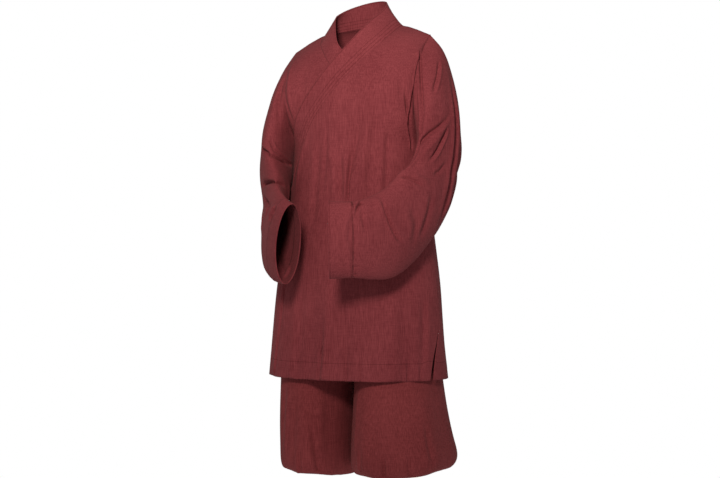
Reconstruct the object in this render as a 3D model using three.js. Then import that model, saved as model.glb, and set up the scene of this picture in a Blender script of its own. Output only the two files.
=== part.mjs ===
import * as THREE from "three";

// A monk's uniform: a crossed-over jacket with wide sleeves, and full trousers that blouse over a
// gathered cuff below the knee. It keeps the hollow form that it has when it is worn, with the
// forearms brought forward. Millimetres, +Z up, -Y to the front and +X to the wearer's left. The
// origin is midway between the shoulders at the base of the neck, where the wearer carries it.

// ---- Driving sizes ----

const CLOTH = 1.6; // single cloth with its soft finish
const BAND = 2.6; // doubled cloth: collar band, cuffs and waistband
const SEAM_GAP = 0.3; // between two pieces that are sewn together
const LAP_DEPTH = 4.8; // how far the right front lies under the left front
const HEM_Z = -857;
const ARMPIT_Z = -275;
const SLIT_TOP_Z = -712;
const SHOULDER_TIP_X = 185;
const NECK_LEFT_X = 112; // where the collar seam crosses the shoulder, left and right
const NECK_RIGHT_X = -97;
const SHOULDER_TILT = 0.07; // the right shoulder is carried a little lower
const ARM_BULGE = 76; // how far the cloth is drawn out at the armhole, front and back
const COLOUR = 0x7d3539;

const FRONT_COLUMNS = 24; // cells across the left front
const ARMHOLE_CELLS = 12; // cells up one side of an armhole, so a sleeve has twice as many round it
const SLEEVE_ROWS = 17; // cells along a sleeve, its cuff left out
const LEG_COLUMNS = 32; // cells round a trouser leg

// ---- Small functions ----

const { abs, asin, cos, max, min, PI, pow, sign, sin, sqrt } = Math;
const radians = (angle) => (angle * PI) / 180;
const degrees = (angle) => (angle * 180) / PI;
const lerp = (a, b, t) => a + (b - a) * t;
const clamp = (x, low, high) => min(max(x, low), high);
const point = (x, y, z) => new THREE.Vector3(x, y, z);
const smooth = (t) => clamp(t, 0, 1) ** 2 * (3 - 2 * clamp(t, 0, 1));
const bell = (t) => (abs(t) < 1 ? 0.5 + 0.5 * cos(PI * t) : 0);
const mirror = (p) => point(-p.x, p.y, p.z);
const count = (n) => Array.from({ length: n + 1 }, (_, i) => i);

// One value on a smooth curve through p1 and p2, with p0 and p3 as the neighbours.
function curve(p0, p1, p2, p3, x0, x1, x2, x3, t) {
  const span = x2 - x1;
  const m1 = x1 === x0 ? p2 - p1 : ((p2 - p0) / (x2 - x0)) * span;
  const m2 = x3 === x2 ? p2 - p1 : ((p3 - p1) / (x3 - x1)) * span;
  const [t2, t3] = [t * t, t * t * t];
  const start = p1 * (2 * t3 - 3 * t2 + 1) + m1 * (t3 - 2 * t2 + t);
  const end = p2 * (3 * t2 - 2 * t3) + m2 * (t3 - t2);
  return start + end;
}

// A row between the rows of a table, by a smooth curve through every column.
function rowAt(rows, key, at) {
  const rising = rows.at(-1)[key] > rows[0][key];
  let k = 0;
  while (k < rows.length - 2 && (rising ? at > rows[k + 1][key] : at < rows[k + 1][key])) k++;
  const [a, b, c, d] = [rows[k - 1] ?? rows[k], rows[k], rows[k + 1], rows[k + 2] ?? rows[k + 1]];
  const t = clamp((at - b[key]) / (c[key] - b[key]), 0, 1);
  const between = (p, q, r, s) => curve(p, q, r, s, a[key], b[key], c[key], d[key], t);
  return Object.fromEntries(
    Object.keys(b).map((name) => [
      name,
      Array.isArray(b[name])
        ? b[name].map((_, i) => between(a[name][i], b[name][i], c[name][i], d[name][i]))
        : between(a[name], b[name], c[name], d[name]),
    ]),
  );
}

// The outward normal at each point of a grid of rows. A row from closedFrom on is a closed ring.
function normalsOf(rows, closedFrom) {
  return rows.map((row, i) =>
    row.map((_, j) => {
      const last = row.length - 1;
      const ring = i >= closedFrom;
      const [left, right] = ring
        ? [row[j === 0 ? last - 1 : j - 1], row[j === last ? 1 : j + 1]]
        : [row[max(j - 1, 0)], row[min(j + 1, last)]];
      const [above, below] = [rows[max(i - 1, 0)][j], rows[min(i + 1, rows.length - 1)][j]];
      const across = right.clone().sub(left);
      const down = below.clone().sub(above);
      return down.cross(across).normalize();
    }),
  );
}

// A cloth wall: the rows give its outer face, top row first and running to the right as seen from
// outside, and it is built inwards from them. seamNormal may give the direction at a shared edge.
function clothWall(rows, { thickness = CLOTH, closedFrom = Infinity, seamNormal } = {}) {
  const normals = normalsOf(rows, closedFrom);
  const last = rows[0].length - 1;
  const positions = [];
  const index = rows.map(() => []);
  rows.forEach((row, i) =>
    row.forEach((outer, j) => {
      if (i >= closedFrom && j === last) {
        index[i][j] = index[i][0];
        return;
      }
      const outward = seamNormal?.(i, j) ?? normals[i][j];
      const inner = outer.clone().addScaledVector(outward, -thickness);
      index[i][j] = positions.length / 3;
      positions.push(outer.x, outer.y, outer.z, inner.x, inner.y, inner.z);
    }),
  );
  const faces = [];
  const quad = (a, b, c, d) => {
    if (a !== b && c !== d) faces.push(a, b, c, a, c, d);
    else if (a === b) faces.push(a, c, d);
    else faces.push(a, b, c);
  };
  const bottom = rows.length - 1;
  for (let i = 0; i < bottom; i++)
    for (let j = 0; j < last; j++) {
      const [a, b, c, d] = [index[i][j], index[i + 1][j], index[i + 1][j + 1], index[i][j + 1]];
      quad(a, b, c, d);
      quad(a + 1, d + 1, c + 1, b + 1);
    }
  for (let j = 0; j < last; j++) {
    quad(index[0][j], index[0][j + 1], index[0][j + 1] + 1, index[0][j] + 1);
    quad(index[bottom][j + 1], index[bottom][j], index[bottom][j] + 1, index[bottom][j + 1] + 1);
  }
  for (let i = 0; i < min(bottom, closedFrom); i++) {
    quad(index[i + 1][0], index[i][0], index[i][0] + 1, index[i + 1][0] + 1);
    quad(index[i][last], index[i + 1][last], index[i + 1][last] + 1, index[i][last] + 1);
  }
  const geometry = new THREE.BufferGeometry();
  geometry.setAttribute("position", new THREE.Float32BufferAttribute(positions, 3));
  geometry.setIndex(faces);
  return geometry;
}

const uniform = new THREE.Group();

function sew(name, geometry) {
  const cloth = new THREE.MeshStandardMaterial({ color: COLOUR, roughness: 0.92, metalness: 0 });
  geometry.computeVertexNormals();
  const mesh = new THREE.Mesh(geometry, cloth);
  mesh.name = name;
  uniform.add(mesh);
}

// ---- Jacket body ----

// Half the width, and the depth to the front and to the back, at each height below the armholes.
const BODY = [
  { z: HEM_Z, middle: -6, wide: 237, front: 160, back: 152 },
  { z: -750, middle: -8, wide: 226, front: 153, back: 144 },
  { z: -640, middle: -6, wide: 216, front: 148, back: 138 },
  { z: -500, middle: -2, wide: 196, front: 141, back: 130 },
  { z: -390, middle: 0, wide: 179, front: 133, back: 122 },
  { z: -330, middle: 0, wide: 174, front: 127, back: 118 },
  { z: ARMPIT_Z, middle: 0, wide: 172, front: 121, back: 115 },
];

// The hanging folds of the body. Angle is round from the front, positive to the wearer's left; a
// fold fades in over its top and runs to its foot, drifting by lean degrees on the way.
const BODY_FOLDS = [
  { angle: 10, lean: -1, width: 9, depth: -5, top: -190, foot: -560 },
  { angle: 17, lean: 2, width: 8, depth: 3, top: -230, foot: -560 },
  { angle: -3, lean: -4, width: 7, depth: 7, top: -560, foot: -900 },
  { angle: -12, lean: -3, width: 9, depth: -8, top: -560, foot: -900 },
  { angle: 8, lean: 0, width: 8, depth: -5, top: -690, foot: -900 },
  { angle: 30, lean: 4, width: 16, depth: 4, top: -600, foot: -900 },
  { angle: 50, lean: 0, width: 11, depth: -5, top: -680, foot: -900 },
  { angle: -38, lean: -4, width: 14, depth: 4, top: -560, foot: -900 },
  { angle: -60, lean: 0, width: 12, depth: -5, top: -600, foot: -900 },
  { angle: 118, lean: 3, width: 13, depth: 5, top: -420, foot: -900 },
  { angle: 138, lean: 0, width: 12, depth: -6, top: -300, foot: -900 },
  { angle: 160, lean: -3, width: 14, depth: 5, top: -360, foot: -900 },
  { angle: 184, lean: 2, width: 11, depth: -5, top: -240, foot: -900 },
  { angle: 205, lean: 0, width: 13, depth: 5, top: -420, foot: -900 },
  { angle: 228, lean: 3, width: 12, depth: -6, top: -320, foot: -900 },
  { angle: 247, lean: -2, width: 12, depth: 4, top: -480, foot: -900 },
];

const FOLD_ENDS = { top: 1 / 3, foot: 1 / 6, open: 0.4 }; // shares over which a fold fades in and out

function foldAt(folds, angle, z) {
  return folds.reduce((sum, fold) => {
    const down = (fold.top - z) / (fold.top - fold.foot);
    const turn = angle - fold.angle - fold.lean * down;
    const away = ((((turn + 180) % 360) + 360) % 360) - 180;
    const fade = smooth(down / FOLD_ENDS.top) * smooth((1 - down) / FOLD_ENDS.foot + FOLD_ENDS.open);
    return sum + fold.depth * bell(away / fold.width) * fade;
  }, 0);
}

// A point of the body below the armholes, at an angle round from the front.
function bodyPoint(angle, z, inset = 0) {
  const ring = rowAt(BODY, "z", z);
  const [side, ahead] = [sin(radians(angle)), cos(radians(angle))];
  const out = foldAt(BODY_FOLDS, angle, z) - inset;
  const deep = ahead > 0 ? ring.front : ring.back;
  return point(ring.middle + side * (ring.wide + out), -ahead * (deep + out), z);
}

const SHOULDER_SEAM_Y = 16; // the shoulder seam lies behind the middle of the neck

// The shoulder line outside the neck, as heights before the tilt of the shoulders.
const SHOULDER = [
  { x: -NECK_RIGHT_X, y: SHOULDER_SEAM_Y, z: 9 },
  { x: NECK_LEFT_X, y: SHOULDER_SEAM_Y, z: 6 },
  { x: 146, y: 14, z: -7 },
  { x: SHOULDER_TIP_X, y: 12, z: -26 },
];
const NECK_MIDDLE_X = (NECK_LEFT_X + NECK_RIGHT_X) / 2;
const NECK_HALF = (NECK_LEFT_X - NECK_RIGHT_X) / 2;
const NAPE = { back: 50, up: 12, round: 0.8 }; // how far the back neckline curves out and rises

// The top edge of the body: the shoulder line, and between its neck points the back neckline.
function shoulderPoint(x) {
  const tilt = SHOULDER_TILT * x;
  const share = (x - NECK_MIDDLE_X) / NECK_HALF;
  const neckPoint = x > NECK_MIDDLE_X ? NECK_LEFT_X : -NECK_RIGHT_X;
  const edge = rowAt(SHOULDER, "x", abs(share) < 1 ? neckPoint : abs(x));
  const round = abs(share) < 1 ? cos((share * PI) / 2) : 0;
  return point(x, edge.y + NAPE.back * pow(round, NAPE.round), edge.z + tilt + NAPE.up * round);
}

// How the yoke leaves the upright below it and leans in to the shoulder, as powers of its rise, and
// how closely the bulge at the armhole keeps to the side, as a power of the share across.
const YOKE_LEAN = { from: 3, round: 0.6 };
const BULGE_SIDE = 4;

// A point of the body above the armholes. Share is across from -1 to 1, rise from 0 to 1, and
// facing is 1 for the front and -1 for the back.
function yokePoint(share, rise, facing, inset = 0) {
  const angle = degrees(asin(clamp(share, -1, 1)));
  const foot = bodyPoint(facing > 0 ? angle : 180 - angle, ARMPIT_Z, inset);
  const top = shoulderPoint(SHOULDER_TIP_X * share);
  if (facing > 0) top.y = min(top.y, SHOULDER_SEAM_Y);
  const draw = pow(1 - pow(rise, YOKE_LEAN.from), YOKE_LEAN.round);
  const bulge = (ARM_BULGE - inset) * pow(abs(share), BULGE_SIDE) * sin(PI * rise);
  return point(
    lerp(foot.x, top.x, rise * rise),
    top.y + (foot.y - top.y) * draw - facing * bulge,
    lerp(foot.z, top.z, rise) - inset * rise * rise * rise,
  );
}

// The front by share and height, above the armholes or below them.
function frontPoint(share, z, inset = 0) {
  if (z <= ARMPIT_Z) return bodyPoint(degrees(asin(clamp(share, -1, 1))), z, inset);
  const top = shoulderPoint(SHOULDER_TIP_X * share).z;
  return yokePoint(share, clamp((z - ARMPIT_Z) / (top - ARMPIT_Z), 0, 1), 1, inset);
}

const frontHeight = (share, rise) => lerp(ARMPIT_Z, shoulderPoint(SHOULDER_TIP_X * share).z, rise);

// The rises of the rows above the armholes, from the shoulder down to the armpit.
const YOKE_RISES = count(ARMHOLE_CELLS).map((k) => cos((k * PI) / 2 / ARMHOLE_CELLS));

// The armhole is one loop that the body panels and the sleeve share. Cell 0 is its top; the cells
// run down the front to the armpit and up the back. Side is 1 for the wearer's left.
function armholePoint(side, cell, move = 0) {
  const k = cell <= ARMHOLE_CELLS ? cell : 2 * ARMHOLE_CELLS - cell;
  const p = yokePoint(side, YOKE_RISES[k], cell <= ARMHOLE_CELLS ? 1 : -1);
  p.x += side * move;
  return p;
}

// The cloth's outward direction round the armhole, the same for every piece that meets there. It
// turns to the side by so much at the shoulder and at the armpit.
const ARMHOLE_MIDDLE_Z = -150;
const ARMHOLE_SIDEWAYS = { shoulder: 0.25, armpit: 0.7 };

function armholeNormal(side, p) {
  const up = (p.z - ARMHOLE_MIDDLE_Z) / (ARMHOLE_MIDDLE_Z - ARMPIT_Z);
  const out = lerp(ARMHOLE_SIDEWAYS.shoulder, ARMHOLE_SIDEWAYS.armpit, clamp(-up, 0, 1));
  return point(side * out, p.y / ARM_BULGE, up).normalize();
}

// ---- Body panels ----

const LOW_ROWS = [
  ARMPIT_Z, -300, -325, -350, -390, -440, -500, -560, -620, -668, SLIT_TOP_Z, -760, -810, HEM_Z,
];
const YOKE_ROWS = YOKE_RISES.slice(0, -1);
const HALF_GAP = SEAM_GAP / 2;

// The collar seam on the left front, from the neck point to the side under the right arm.
const NECKLINE = [
  { z: 14, share: 0.605 },
  { z: -19, share: 0.53 },
  { z: -48, share: 0.405 },
  { z: -82, share: 0.25 },
  { z: -112, share: 0.08 },
  { z: -148, share: -0.092 },
  { z: -195, share: -0.335 },
  { z: -232, share: -0.5 },
  { z: -272, share: -0.625 },
  { z: -306, share: -0.72 },
  { z: -330, share: -0.785 },
  { z: -350, share: -0.835 },
  { z: -390, share: -0.92 },
  { z: -440, share: -0.975 },
];
const LAP_EDGE = -0.975; // the free edge of the left front, by the right side seam
const UNDERLAP_SIDE = 7; // cells of the right front outside the left one
const UNDERLAP_SHARED = 11; // cells of the right front under the left one, one to one

const shareAngle = (share) => degrees(asin(clamp(share, -1, 1)));
const angleShare = (angle) => sin(radians(angle));
const sideGap = (z) => degrees(HALF_GAP / rowAt(BODY, "z", z).back);

// How far the edges of the slits have swung forward of the side seams at the hem, in degrees. The
// back's left edge follows the left front's.
const SWING = { leftFront: 21, rightFront: 8, backLeft: 18, backRight: -3 };
const swing = (z, most) => most * pow(smooth((SLIT_TOP_Z - z) / (SLIT_TOP_Z - HEM_Z)), 0.8);

// The neckline's share on a row above the armholes, found where the row and the seam meet. The
// right front's neckline is the left one mirrored.
function yokeNeckShare(rise, side) {
  const neck = side > 0 ? NECK_LEFT_X / SHOULDER_TIP_X : -NECK_RIGHT_X / SHOULDER_TIP_X;
  let [low, high] = [-0.99, neck];
  for (let step = 0; step < 30; step++) {
    const share = (low + high) / 2;
    const top = shoulderPoint(side * SHOULDER_TIP_X * share).z;
    const z = lerp(ARMPIT_Z, top, rise);
    const seam = z > NECKLINE[0].z ? neck : rowAt(NECKLINE, "z", z).share;
    if (seam > share) low = share;
    else high = share;
  }
  return side * low;
}

const necklineShare = (z) => (z < NECKLINE.at(-1).z ? LAP_EDGE : rowAt(NECKLINE, "z", z).share);

// The left front's angles across a row, from its neckline or free edge to its armhole or side.
const leftYokeAngles = (rise) => [shareAngle(yokeNeckShare(rise, 1)), 90];
const leftLowAngles = (z) => [
  shareAngle(necklineShare(z)),
  90 - sideGap(z) - swing(z, SWING.leftFront),
];

function leftFrontRows() {
  const across = count(FRONT_COLUMNS).map((j) => j / FRONT_COLUMNS);
  const yoke = YOKE_ROWS.map((rise) => {
    const [from, to] = leftYokeAngles(rise);
    return across.map((t) => yokePoint(angleShare(lerp(from, to, t)), rise, 1));
  });
  const low = LOW_ROWS.map((z) => {
    const [from, to] = leftLowAngles(z);
    return across.map((t) => bodyPoint(lerp(from, to, t), z));
  });
  yoke[0].forEach((p) => (p.y -= HALF_GAP));
  yoke.forEach((row) => (row.at(-1).x -= HALF_GAP));
  return [...yoke, ...low];
}

const UNDERLAP_CROWD = 1.3; // the outside cells are narrower towards the side seam
const UNDERLAP_TOP = { from: -100, to: 6 }; // heights between which the shared cells begin

// The right front's angles across a row. Its last cells stand under the left front's first cells.
function rightAngles(side, [from, to], share, limit) {
  const step = min((to - from) / FRONT_COLUMNS, (limit - from) / UNDERLAP_SHARED);
  const end = share > 0 ? from + step * UNDERLAP_SHARED : limit;
  const cells = UNDERLAP_SIDE + UNDERLAP_SHARED;
  return count(cells).map((j) => {
    const even = lerp(side, min(end, limit), j / cells);
    const outside = lerp(side, from, pow(j / UNDERLAP_SIDE, UNDERLAP_CROWD));
    const shared = j < UNDERLAP_SIDE ? outside : from + step * (j - UNDERLAP_SIDE);
    return lerp(even, shared, share);
  });
}

// The right front lies under the left one, and comes out to its seams at its own side, from 86 to
// 77 degrees round, and over the last part of its rise to the shoulder.
const UNDERLAP_SEAMS = { angle: -86, over: 9, rise: 0.93 };

function underlapInset(angle, rise = 0) {
  const inward = smooth((angle - UNDERLAP_SEAMS.angle) / UNDERLAP_SEAMS.over);
  const upward = smooth((rise - UNDERLAP_SEAMS.rise) / (1 - UNDERLAP_SEAMS.rise));
  return LAP_DEPTH * inward * (1 - upward);
}

function rightFrontRows() {
  const yoke = YOKE_ROWS.map((rise) => {
    const neck = shareAngle(yokeNeckShare(rise, -1));
    const z = frontHeight(angleShare(neck), rise);
    const shared = smooth((UNDERLAP_TOP.from - z) / (UNDERLAP_TOP.to - UNDERLAP_TOP.from));
    const angles = rightAngles(-90, leftYokeAngles(rise), shared, neck);
    return angles.map((angle) => yokePoint(angleShare(angle), rise, 1, underlapInset(angle, rise)));
  });
  const low = LOW_ROWS.map((z) => {
    const side = -90 + sideGap(z) + swing(z, SWING.rightFront);
    const angles = rightAngles(side, leftLowAngles(z), 1, 90);
    return angles.map((angle) => bodyPoint(angle, z, underlapInset(angle)));
  });
  yoke[0].forEach((p) => (p.y -= HALF_GAP));
  yoke.forEach((row) => (row[0].x += HALF_GAP));
  return [...yoke, ...low];
}

// The back's columns, as shares across; two of them end at the neck points.
const BACK_SHARES = [
  1, 0.985, 0.94, 0.87, 0.79, 0.72, 0.66, NECK_LEFT_X / SHOULDER_TIP_X, 0.46, 0.31, 0.17, 0.04,
  -0.1, -0.24, -0.38, NECK_RIGHT_X / SHOULDER_TIP_X, -0.6, -0.68, -0.76, -0.85, -0.93, -0.985, -1,
];

function backRows() {
  const yoke = YOKE_ROWS.map((rise) => BACK_SHARES.map((share) => yokePoint(share, rise, -1)));
  const low = LOW_ROWS.map((z) => {
    const spread = (most) => 1 + (swing(z, most) - sideGap(z)) / 90;
    const [left, right] = [spread(SWING.backLeft), spread(SWING.backRight)];
    return BACK_SHARES.map((share) => {
      const angle = shareAngle(share);
      return bodyPoint(180 - angle * (share > 0 ? left : right), z);
    });
  });
  yoke[0].forEach((p) => (p.y += HALF_GAP));
  yoke.forEach((row) => {
    row[0].x -= HALF_GAP;
    row.at(-1).x += HALF_GAP;
  });
  return [...yoke, ...low];
}

// How far the directions of the shoulder seam and of the back neckline turn to the side.
const SHOULDER_SIDEWAYS = 0.2;
const NAPE_SIDEWAYS = 0.8;

// The directions that a body panel shares with its neighbours at its seams, where it has them.
function panelSeams(rows, sides) {
  const last = rows[0].length - 1;
  const foot = YOKE_ROWS.length;
  const slit = foot + LOW_ROWS.indexOf(SLIT_TOP_Z);
  return (i, j) => {
    const p = rows[i][j];
    const side = j === 0 ? sides[0] : j === last ? sides[1] : 0;
    if (side && i <= foot) return armholeNormal(side, p);
    if (side && i <= slit) return point(side, 0, 0);
    if (i > 0) return null;
    if (p.x < NECK_LEFT_X + 1 && p.x > NECK_RIGHT_X - 1 && p.y > 0) return napeNormal(p);
    return point(sign(p.x) * SHOULDER_SIDEWAYS, 0, 1).normalize();
  };
}

// The direction shared by the back neckline and the foot of the standing collar.
function napeNormal(p) {
  const across = (p.x - NECK_MIDDLE_X) / NECK_HALF;
  const back = max(p.y - SHOULDER_SEAM_Y, 0) / NAPE.back;
  return point(across * NAPE_SIDEWAYS, back, 1).normalize();
}

const leftFront = leftFrontRows();
const rightFront = rightFrontRows();
const back = backRows();
sew("jacket_front_left", clothWall(leftFront, { seamNormal: panelSeams(leftFront, [0, 1]) }));
sew("jacket_front_right", clothWall(rightFront, { seamNormal: panelSeams(rightFront, [-1, 0]) }));
sew("jacket_back", clothWall(back, { seamNormal: panelSeams(back, [1, -1]) }));

// ---- Sleeves ----

// Four lines along each sleeve: fore runs down the front of the upper arm and along the top of the
// forearm, outer along the outside, rear down the back of the arm and under the forearm, and
// inner along the side that faces the body. X is away from the middle on both sides.
const along = (at, fore, outer, rear, inner) => ({ at, fore, outer, rear, inner });
const LEFT_SLEEVE = [
  along(0, [183, -76, -150], [185, 12, -20], [183, 85, -150], [172, 0, -275]),
  along(0.45, [190, -82, -164], [219, 8, -46], [196, 84, -160], [174, -4, -283]),
  along(1, [198, -86, -180], [233, 2, -91], [205, 82, -172], [176, -8, -290]),
  along(2, [206, -96, -222], [249, -4, -164], [221, 74, -225], [182, -14, -308]),
  along(3, [209, -108, -264], [259, -10, -235], [227, 66, -285], [186, -22, -328]),
  along(4, [205, -121, -300], [260, -20, -300], [230, 56, -345], [188, -34, -356]),
  along(5, [194, -134, -329], [255, -40, -362], [228, 34, -415], [190, -54, -394]),
  along(6, [181, -156, -352], [246, -86, -412], [220, -8, -480], [184, -84, -434]),
  along(7, [165, -182, -380], [225, -142, -450], [202, -76, -543], [162, -118, -474]),
  along(8, [146, -210, -405], [198, -198, -486], [182, -142, -592], [136, -152, -506]),
  along(9, [120, -245, -422], [163, -246, -510], [150, -200, -612], [108, -190, -520]),
  along(10, [101, -262, -427], [119, -289, -518], [101, -257, -606], [76, -226, -520]),
  along(11, [55, -292, -425], [72, -326, -520], [57, -290, -609], [42, -252, -520]),
];
const RIGHT_SLEEVE = [
  along(0, [183, -76, -160], [185, 12, -36], [183, 85, -160], [172, 0, -275]),
  along(0.45, [189, -81, -172], [209, 9, -66], [195, 84, -170], [177, -4, -284]),
  along(1, [195, -86, -190], [223, 4, -106], [203, 82, -182], [180, -8, -293]),
  along(2, [200, -96, -230], [241, -2, -170], [222, 76, -232], [181, -18, -310]),
  along(3, [204, -108, -270], [258, -8, -236], [234, 68, -290], [178, -30, -334]),
  along(4, [200, -118, -306], [266, -16, -304], [244, 58, -350], [169, -48, -364]),
  along(5, [186, -128, -334], [266, -34, -368], [246, 34, -415], [156, -84, -400]),
  along(6, [168, -146, -356], [236, -72, -418], [236, -14, -477], [149, -106, -438]),
  along(7, [149, -170, -376], [215, -112, -456], [220, -74, -537], [139, -124, -474]),
  along(8, [128, -194, -394], [192, -154, -490], [194, -130, -586], [129, -142, -506]),
  along(9, [104, -216, -409], [162, -200, -508], [156, -176, -611], [112, -156, -528]),
  along(10, [80, -236, -421], [130, -238, -516], [118, -214, -622], [90, -174, -538]),
  along(11, [58, -250, -430], [97, -267, -520], [85, -243, -624], [68, -194, -536]),
];

const ARMHOLE_BLEND = 1.6; // the station by which a sleeve has left the form of its armhole

// The deep folds of a sleeve, each a line between two points that the cloth sinks towards.
const LEFT_FOLDS = [
  { from: [196, -88, -90], to: [186, -110, -290], width: 26, depth: 9 },
  { from: [240, -60, -225], to: [196, -150, -345], width: 24, depth: 8 },
  { from: [270, 30, -250], to: [244, -20, -500], width: 22, depth: 9 },
  { from: [186, -215, -420], to: [190, -205, -520], width: 24, depth: 7 },
];
const RIGHT_FOLDS = [
  { from: [286, -40, -285], to: [225, -118, -315], width: 24, depth: 8 },
  { from: [280, -70, -385], to: [215, -140, -370], width: 22, depth: 8 },
  { from: [240, -118, -440], to: [205, -160, -425], width: 20, depth: 6 },
];

function sinkInto(p, normal, folds) {
  for (const fold of folds) {
    const [a, b] = [point(...fold.from), point(...fold.to)];
    const line = b.clone().sub(a);
    const t = clamp(p.clone().sub(a).dot(line) / line.lengthSq(), 0, 1);
    const away = p.distanceTo(a.addScaledVector(line, t)) / fold.width;
    p.addScaledVector(normal, -fold.depth * bell(away) * sqrt(bell(2 * t - 1)));
  }
}

function sleeveRows(side, { lines, folds, cuffFrom }) {
  const around = 2 * ARMHOLE_CELLS;
  const quarter = ({ fore, outer, rear, inner }, cell) => {
    const turn = (cell / around) * 2 * PI;
    const [up, on] = [cos(turn), sin(turn)];
    const [high, near] = [up > 0 ? outer : inner, on > 0 ? fore : rear];
    const at = (i) => {
      const middle = (fore[i] + rear[i] + outer[i] + inner[i]) / 4;
      return middle + abs(up) * (high[i] - middle) + abs(on) * (near[i] - middle);
    };
    return point(at(0), at(1), at(2));
  };
  const stations = [
    ...count(SLEEVE_ROWS).map((k) => (k / SLEEVE_ROWS) * cuffFrom),
    ...[1, 2].map((k) => lerp(cuffFrom, lines.at(-1).at, k / 2)),
  ];
  const rows = stations.map((at) => {
    const line = rowAt(lines, "at", at);
    const keep = 1 - smooth(at / ARMHOLE_BLEND);
    return count(around).map((cell) => {
      const p = quarter(line, cell);
      const loop = armholePoint(side, cell, HALF_GAP);
      loop.x *= side;
      const shift = loop.sub(quarter(lines[0], cell)).multiplyScalar(keep);
      return p.add(shift);
    });
  });
  const normals = normalsOf(rows, 0);
  rows.slice(1).forEach((row, i) =>
    row.forEach((p, j) => sinkInto(p, normals[i + 1][j].multiplyScalar(-1), folds)),
  );
  return side > 0 ? rows.map((row) => row.reverse()) : rows.map((row) => row.map(mirror));
}

function sewSleeve(name, side, shape) {
  const rows = sleeveRows(side, shape);
  const normals = normalsOf(rows, 0);
  const sleeve = rows.slice(0, SLEEVE_ROWS + 1);
  const cuff = rows.slice(SLEEVE_ROWS).map((row) => row.map((p) => p.clone()));
  const sleeveSeam = (i, j) => (i === 0 ? armholeNormal(side, rows[0][j]) : normals[i][j]);
  const cuffSeam = (i, j) => normals[SLEEVE_ROWS + i][j];
  cuff[0].forEach((p, j) => p.lerp(cuff[1][j], SEAM_GAP / p.distanceTo(cuff[1][j])));
  const turnedIn = { closedFrom: 0, thickness: BAND, seamNormal: cuffSeam };
  sew("sleeve_" + name, clothWall(sleeve, { closedFrom: 0, seamNormal: sleeveSeam }));
  sew("sleeve_cuff_" + name, clothWall(cuff, turnedIn));
}

sewSleeve("left", 1, { lines: LEFT_SLEEVE, folds: LEFT_FOLDS, cuffFrom: 10 });
sewSleeve("right", -1, { lines: RIGHT_SLEEVE, folds: RIGHT_FOLDS, cuffFrom: 9.6 });

// ---- Collar band ----

// The band's inner edge, by the height of its seam: a point of the neck or chest, in x, y and up.
// Lie is 1 where the band lies on the front, and 0 where it stands away to the neck.
const COLLAR_LEFT = [
  { z: 14, x: 70, y: 5, up: 66, lie: 0 },
  { z: 4, x: 68, y: -12, up: 51, lie: 0 },
  { z: -19, x: 51, y: -42, up: 28, lie: 0 },
  { z: -48, x: 26, y: -76, up: -12, lie: 0 },
  { z: -82, x: 5, y: -88, up: -38, lie: 0 },
  { z: -112, x: -30, y: -104, up: -80, lie: 0 },
  { z: -148, x: -57, y: -108, up: -111, lie: 0.2 },
  { z: -195, x: -99, y: -98, up: -160, lie: 1 },
  { z: -232, x: -131, y: -80, up: -206, lie: 1 },
  { z: -272, x: -149, y: -64, up: -251, lie: 1 },
  { z: -300, x: -156, y: -54, up: -273, lie: 1 },
  { z: -326, x: -162, y: -44, up: -296, lie: 1 },
  { z: -350, x: -167, y: -30, up: -321, lie: 1 },
  { z: -390, x: -173, y: -20, up: -362, lie: 1 },
];
const COLLAR_RIGHT = [
  { z: 3, x: -66, y: 5, up: 48, lie: 0 },
  { z: -6, x: -62, y: -16, up: 38, lie: 0 },
  { z: -22, x: -49, y: -42, up: 18, lie: 0 },
  { z: -48, x: -34, y: -68, up: -20, lie: 0 },
  { z: -82, x: -13, y: -80, up: -50, lie: 0 },
  { z: -112, x: 32, y: -86, up: -84, lie: 0.5 },
  { z: -148, x: 60, y: -95, up: -118, lie: 1 },
  { z: -195, x: 92, y: -90, up: -150, lie: 1 },
];
const COLLAR_PROUD = 1; // the band stands out from the front that it is sewn to
const COLLAR_CELLS = 3; // cells across the band
const COLLAR_GAP = 0.6; // between the band and the fronts, which turn sharply against it
const COLLAR_END_Z = -390; // where its seam ends, under the right arm
const COLLAR_HIDDEN_Z = -175; // where its other end stops, under the left front
const COLLAR_ROLL = 2; // how far it bows out round the nape

// The band's top edge round the nape: its middle and half width, its depth from front to back, and
// how it rises from its foot to the nape and tilts to one side.
const NECK_TOP = { middle: 2, wide: 68, front: 5, deep: 57, foot: 57, rise: 27, tilt: 9 };

// The point of the front at a width and height, and the direction that it faces there.
function frontAt(x, z, inset = 0) {
  let share = x / SHOULDER_TIP_X;
  for (let step = 0; step < 12; step++) {
    share += (x - frontPoint(share, z, inset).x) / SHOULDER_TIP_X;
  }
  return frontPoint(share, z, inset);
}

function frontNormal({ x, z }) {
  const across = frontAt(x + 1, z).sub(frontAt(x - 1, z));
  return across.cross(frontAt(x, z + 1).sub(frontAt(x, z - 1))).normalize();
}

// Points across the band, from its inner edge down to its seam. Roll bows it out on the way.
function collarColumn(seam, inner, { lie = 0, inset = 0, proud = 0, roll = 0 }) {
  const out = point(inner.x + seam.x - 2 * NECK_MIDDLE_X, inner.y + seam.y, 0).normalize();
  return count(COLLAR_CELLS).map((k) => {
    const t = 1 - k / COLLAR_CELLS;
    const p = seam.clone().lerp(inner, t).addScaledVector(out, roll * sin(PI * t));
    if (lie > 0) p.setY(lerp(p.y, frontAt(p.x, p.z, inset).y, lie));
    return lie > 0 && proud > 0 ? p.addScaledVector(frontNormal(p), proud * lie) : p;
  });
}

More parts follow.
